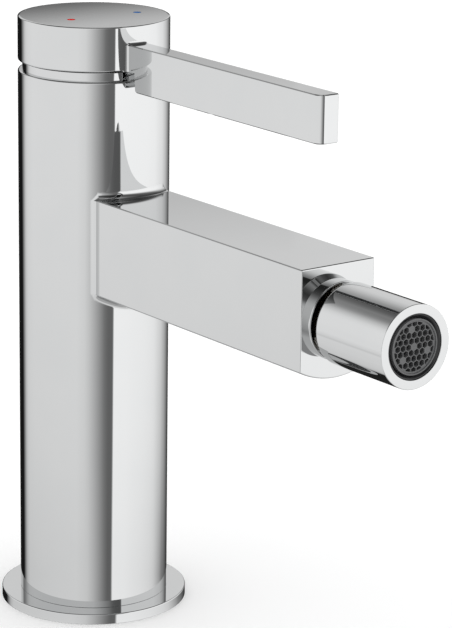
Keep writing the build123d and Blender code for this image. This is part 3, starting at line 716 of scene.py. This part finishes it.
# Nozzle collar. A turned brass band, chromed, let into the spout's end over the ball stud.
# It is dished in front, so that the nozzle's tapered rear can swing in it.
nozzle_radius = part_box("nozzle_housing")[1].x
collar_radius = collar_high.x
collar_band = spout_face - collar_low.y
collar_seat = 9.6 * mm
collar_lip_round = 0.22 * mm
ball_forward = 10.0 * mm
dish_radius = 13.2 * mm
stud_clearance = 6.35 * mm
thread_radius = 6.05 * mm
stud_seat = -2.0 * mm
dish_start = math.degrees(math.asin((collar_band - ball_forward) / dish_radius))
dish_end = -math.degrees(math.acos(stud_clearance / dish_radius))
collar_outline = [
    (thread_radius, -collar_recess_depth),
    (collar_seat, -collar_recess_depth),
    (collar_seat, 0),
    (collar_radius, 0),
    (collar_radius, collar_band),
]
collar_outline += arc((0, ball_forward), dish_radius, dish_start, dish_end, 10)
collar_outline += [(stud_clearance, stud_seat), (thread_radius, stud_seat)]
nozzle_centre = (0, spout_face, nozzle_height)
out_of_spout = Matrix.Translation(nozzle_centre) @ Matrix.Rotation(math.radians(90), 4, "X")
shape = turn(collar_outline, {4: collar_lip_round}, out_of_spout)
finish_piece(shape, "collar_ring", "body", "chrome", chrome, "nozzle_collar")
finish_nodes(rubber, "stud_seal")

# Ball joint. The stud and the retainer are turned brass, given a dark colour of painted shade where they
# show in the gap.
# The shell between ball and seat is a slippery white fluoropolymer, and an O-ring seals the ball.
# Both brass tones are darkened with painted shade, standing in for the gap's shadow, not the metal's own
# colour.
brass_shadow = (0.09, 0.075, 0.05)
brass_shadow_light = (0.15, 0.125, 0.085)
nozzle_brass_painted_shade = machine("nozzle_brass_painted_shade", brass_shadow, brass_shadow_light, 0.22, 0.4, nozzle_centre, lengthwise)
liner_grey = (0.80, 0.80, 0.79)
liner_white = (0.88, 0.88, 0.87)
liner = mould("fluoropolymer", liner_grey, liner_white, 0.4, 0.55, fine=1200.0, strength=0.04)
finish_nodes(nozzle_brass_painted_shade, "ball_stud", "ball_retainer")
finish_nodes(liner, "ball_liner")
finish_nodes(rubber, "ball_seal")

# Nozzle. A turned brass barrel, chromed, whose rear tapers in towards the collar.
# The ball's seat is bored from behind, and the aerator screws into its open mouth.
housing_low, housing_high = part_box("nozzle_housing")
nozzle_front = spout_face - housing_low.y
nozzle_rear = spout_face - housing_high.y
nozzle_bore = 9.25 * mm
rear_edge = 9.6 * mm
taper_length = 2.57 * mm
mouth_bore = 8.83 * mm
mouth_ledge = 18.95 * mm
seat_behind = 1.2 * mm
seat_ahead = 4.2 * mm
seat_rear = ball_forward + seat_behind
seat_front = ball_forward + seat_ahead
seat_sphere = 7.6 * mm
pocket_radius = 5.58 * mm
pocket_front = 15.75 * mm
throat_radius = 4.4 * mm
throat_front = 16.75 * mm
funnel_radius = 6.23 * mm
front_round = 0.2 * mm
mouth_round = 0.15 * mm
taper_round = 0.25 * mm
seat_start = math.degrees(math.asin((seat_front - ball_forward) / seat_sphere))
seat_end = math.degrees(math.asin((seat_rear - ball_forward) / seat_sphere))
barrel_outline = [(nozzle_radius, nozzle_front), (mouth_bore, nozzle_front)]
barrel_outline += [
    (mouth_bore, mouth_ledge),
    (funnel_radius, mouth_ledge),
    (throat_radius, throat_front),
    (throat_radius, pocket_front),
    (pocket_radius, pocket_front),
    (pocket_radius, seat_front),
]
barrel_outline += arc((0, ball_forward), seat_sphere, seat_start, seat_end, 8)
barrel_outline += [
    (nozzle_bore, seat_rear),
    (nozzle_bore, nozzle_rear),
    (rear_edge, nozzle_rear),
    (nozzle_radius, nozzle_rear + taper_length),
]
rear_corner = len(barrel_outline) - 1
barrel_rounds = {0: front_round, 1: mouth_round, rear_corner: taper_round}
shape = turn(barrel_outline, barrel_rounds, out_of_spout)
finish_piece(shape, "nozzle_barrel", "nozzle", "chrome", chrome, "nozzle_housing")

# Aerator. A black moulded case screwed into the nozzle's mouth on a rubber washer, with an
# acetal flow core behind and a dark grey moulded honeycomb in front.
finish_nodes(rubber, "aerator_washer")
finish_nodes(acetal, "aerator_core")
case_dark = (0.006, 0.006, 0.007)
case_light = (0.014, 0.014, 0.015)
case_black = mould("black_moulding", case_dark, case_light, 0.28, 0.4, fine=1800.0, strength=0.08)
case_low, case_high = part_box("aerator_case")
case_front = spout_face - case_low.y
case_rear = spout_face - case_high.y
case_radius = case_high.x
case_bore = 6.55 * mm
case_rim = 0.25 * mm
case_slope = 0.9 * mm
case_edge_round = 0.08 * mm
case_rim_round = 0.1 * mm
grille_seat = 7.55 * mm
grille_gap = 0.05 * mm
grille_rear = spout_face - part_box("aerator_grille")[1].y
case_outline = [
    (case_bore, case_rear),
    (case_radius, case_rear),
    (case_radius, case_front),
    (case_radius - case_rim, case_front),
    (grille_seat, case_front - case_slope),
    (grille_seat, grille_rear - grille_gap),
    (case_bore, grille_rear - grille_gap),
]
shape = turn(case_outline, {2: case_edge_round, 3: case_rim_round}, out_of_spout)
finish_piece(shape, "aerator_ring", "nozzle", "aerator_black", case_black, "aerator_case")
grille_dark = (0.078, 0.079, 0.081)
grille_light = (0.106, 0.107, 0.109)
grille_grey = mould("grey_moulding", grille_dark, grille_light, 0.34, 0.5, fine=1800.0, strength=0.08)
finish_nodes(grille_grey, "aerator_grille")

# Studio floor: a wide pale sheet, matt painted, which the mixer stands on.
# The chrome doesn't mirror it, because the light's pattern below holds the floor's glow.
floor_radius = 4.0
floor_white = (0.93, 0.93, 0.93, 1)
floor_shape = bmesh.new()
bmesh.ops.create_circle(floor_shape, cap_ends=True, segments=64, radius=floor_radius)
floor_mesh = bpy.data.meshes.new("floor")
floor_shape.to_mesh(floor_mesh)
floor_shape.free()
floor = bpy.data.objects.new("floor", floor_mesh)
bpy.context.scene.collection.objects.link(floor)
floor.visible_glossy = False
floor_paint, tree, shader, place = new_material("floor_paint", Roughness=0.8, Specular_IOR_Level=0.1)
shader.inputs["Base Color"].default_value = floor_white
floor_mesh.materials.append(floor_paint)

# Studio light: an even white all round for matt surfaces, and soft panels, walls and a dark
# ceiling that only mirror reflections see. Azimuth runs from +Y towards +X, in degrees.
world = bpy.data.worlds.new("studio")
bpy.context.scene.world = world
world.use_nodes = True
tree = world.node_tree
tree.nodes.clear()
way = add(tree, "ShaderNodeTexCoord").outputs["Generated"]
direction = add(tree, "ShaderNodeSeparateXYZ", {0: way})


def maths(operation, first, second=0.0):
    return add(tree, "ShaderNodeMath", {0: first, 1: second}, operation=operation).outputs[0]


turns = maths("DIVIDE", maths("ARCTAN2", direction.outputs["X"], direction.outputs["Y"]), math.tau)
height = maths("DIVIDE", maths("ARCSINE", direction.outputs["Z"]), math.radians(1))


def ramp(value, stops, low, high, brightest=2.0):
    """A curve of (place, level) stops over a range, with levels up to the brightest."""
    share = add(tree, "ShaderNodeMapRange", {"Value": value, "From Min": low, "From Max": high})
    node = add(tree, "ShaderNodeValToRGB", {0: share.outputs["Result"]})
    elements = node.color_ramp.elements
    while len(elements) > 1:
        elements.remove(elements[-1])
    for count, (place, level) in enumerate(stops):
        at = (place - low) / (high - low)
        stop = elements[0] if count == 0 else elements.new(at)
        stop.position = at
        grey = level / brightest
        stop.color = (grey, grey, grey, 1)
    return maths("MULTIPLY", node.outputs["Color"], brightest)


def blend(share, first, second):
    return add(tree, "ShaderNodeMix", {0: share, 2: first, 3: second}, data_type="FLOAT").outputs[0]


# The front panel's edge slants with height, about a level below the eye
slant_level = 15.0
azimuth = maths("MULTIPLY", maths("FRACT", turns), 360.0)
slant = ramp(azimuth, [(0, 0), (90, 0), (140, 0.37), (220, 0.37), (290, 0), (360, 0)], 0, 360)
slanted = maths("ADD", azimuth, maths("MULTIPLY", maths("ADD", height, slant_level), slant))

# Walls at eye height and lower down, and the floor's glow under them
walls = ramp(
    slanted,
    [
        (0, 0.01), (37, 0.02), (47, 0.06), (56, 0.15), (65, 0.44), (75, 0.85), (87, 1.22),
        (108, 1.47), (127, 1.52), (182.8, 1.54), (184.3, 0.2), (193, 0.21), (198, 0.26), (202, 0.38),
        (211, 0.63), (220, 0.9), (228, 1.11), (240, 1.19), (320, 1.19), (332, 1.13), (338, 1.06),
        (343, 0.87), (348, 0.47), (352.7, 0.18), (356, 0.02), (360, 0.01),
    ],
    0, 360,
)
low_walls = ramp(
    slanted,
    [
        (0, 0.01), (37, 0.02), (56, 0.05), (80, 0.2), (94, 0.58), (106, 0.92), (116, 1.07),
        (134, 1.2), (149, 1.27), (163, 1.34), (183.5, 1.36), (185, 0.19), (191, 0.19), (195, 0.27),
        (204.5, 0.52), (213, 0.75), (222, 0.94), (240, 1.02), (270, 1.0), (301, 0.96), (335, 0.88),
        (343, 0.68), (348, 0.42), (352.7, 0.15), (356, 0.02), (360, 0.01),
    ],
    0, 360,
)
floor_glow = ramp(
    azimuth,
    [
        (0, 0.02), (36, 0.02), (40, 0.8), (60, 1.0), (332, 1.05), (339, 1.0), (347, 0.95),
        (355, 0.8), (358.5, 0.1), (360, 0.02),
    ],
    0, 360,
)
sinking = ramp(
    height,
    [(-90, 0.3), (-23, 0.3), (-20.6, 0.9), (-18, 0.42), (-12, 0.0), (90, 0.0)],
    -90, 90,
)
underneath = ramp(height, [(-90, 1.0), (-34, 1.0), (-25, 0.0), (90, 0.0)], -90, 90)
around = blend(underneath, blend(sinking, walls, low_walls), floor_glow)

# The walls darken towards the ceiling
lid = ramp(
    height,
    [
        (-90, 0.6), (-56, 0.6), (-48, 1.0), (-5, 1.0), (3, 1.02), (19, 1.03), (22, 1.0), (25, 0.95),
        (28, 0.83), (30.5, 0.72), (33, 0.56), (35.2, 0.42), (37.2, 0.3), (39, 0.2), (45, 0.12),
        (54, 0.07), (64, 0.14), (76, 0.42), (90, 0.5),
    ],
    -90, 90,
)
around = maths("MULTIPLY", around, lid)

# Behind the mixer the wall's lower edge runs aslant, with a step, and brightens upwards
tilt_turn = 34 / 360
tilt_rise = 32.4
step_rise = 6.0
rear = ramp(
    azimuth,
    [(0, 0.4), (2, 0.4), (6, 1), (47, 1), (52, 0), (336, 0), (346, 0.4), (360, 0.4)],
    0, 360,
)
tilt = maths("MULTIPLY", maths("SUBTRACT", turns, tilt_turn), tilt_rise)
stepped = ramp(azimuth, [(0, 0), (38.5, 0), (41.5, 1), (47, 1), (52, 0), (360, 0)], 0, 360)
tilted = maths("ADD", maths("ADD", height, tilt), maths("MULTIPLY", stepped, step_rise))
lift = ramp(tilted, [(-90, 0), (8.9, 0.0), (9.2, 1.0), (90, 1)], -90, 90)
just_above = ramp(
    tilted,
    [
        (9, 0.18), (9.5, 0.2), (9.56, 0.26), (9.78, 0.5), (9.97, 0.665), (10.3, 0.64), (10.6, 0.6),
        (11.0, 0.66), (11.6, 0.77), (13.3, 0.7), (13.75, 0.77), (14.2, 0.83), (14.7, 0.88), (16, 0.9),
    ],
    9, 16,
)
far_above = ramp(
    tilted,
    [
        (16, 1.0), (22, 1.07), (25.5, 1.07), (28.1, 1.03), (30.5, 0.97), (32.7, 0.905), (34.5, 0.8),
        (36.2, 0.71), (38.4, 0.51), (42, 0.22), (48, 0.1), (54, 0.08), (64, 0.16), (76, 0.45), (90, 0.55),
    ],
    16, 90,
)
above = maths("MULTIPLY", just_above, far_above)
level = blend(maths("MULTIPLY", rear, lift), around, above)

# A dark slit between two ceiling panels draws the thin line along the nozzle
slit_across = ramp(azimuth, [(0, 1), (1.8, 1), (2.8, 0.0), (7.4, 0.0), (8.4, 1), (360, 1)], 0, 360)
slit_high = ramp(height, [(-90, 0), (24, 0), (27, 1), (60, 1), (90, 1)], -90, 90)
level = maths("MULTIPLY", level, blend(slit_high, 1.0, slit_across))

# Mirror reflections see the pattern, and everything else sees the even white
even_strength = 1.2
pattern = add(tree, "ShaderNodeBackground", {"Color": (1, 1, 1, 1), "Strength": level})
white = add(tree, "ShaderNodeBackground", {"Color": (1, 1, 1, 1), "Strength": even_strength})
ray = add(tree, "ShaderNodeLightPath")
both = add(
    tree, "ShaderNodeMixShader",
    {0: ray.outputs["Is Glossy Ray"], 1: white.outputs[0], 2: pattern.outputs[0]},
)
add(tree, "ShaderNodeOutputWorld", {"Surface": both.outputs[0]})

# Camera, at the photograph's angle: its place, its turn about Z, its drop and its slight roll
camera_place = (-0.48125, -0.70947, 0.32383)
camera_turn = math.radians(-36.761)
camera_drop = math.radians(15.410)
camera_roll = math.radians(0.7155)
camera_data = bpy.data.cameras.new("camera")
camera_data.lens = 172.3
camera = bpy.data.objects.new("camera", camera_data)
bpy.context.scene.collection.objects.link(camera)
bpy.context.scene.camera = camera
camera.matrix_world = (
    Matrix.Translation(camera_place)
    @ Matrix.Rotation(camera_turn, 4, "Z")
    @ Matrix.Rotation(math.radians(90) - camera_drop, 4, "X")
    @ Matrix.Rotation(camera_roll, 4, "Z")
)
bpy.context.scene.view_settings.view_transform = "Standard"
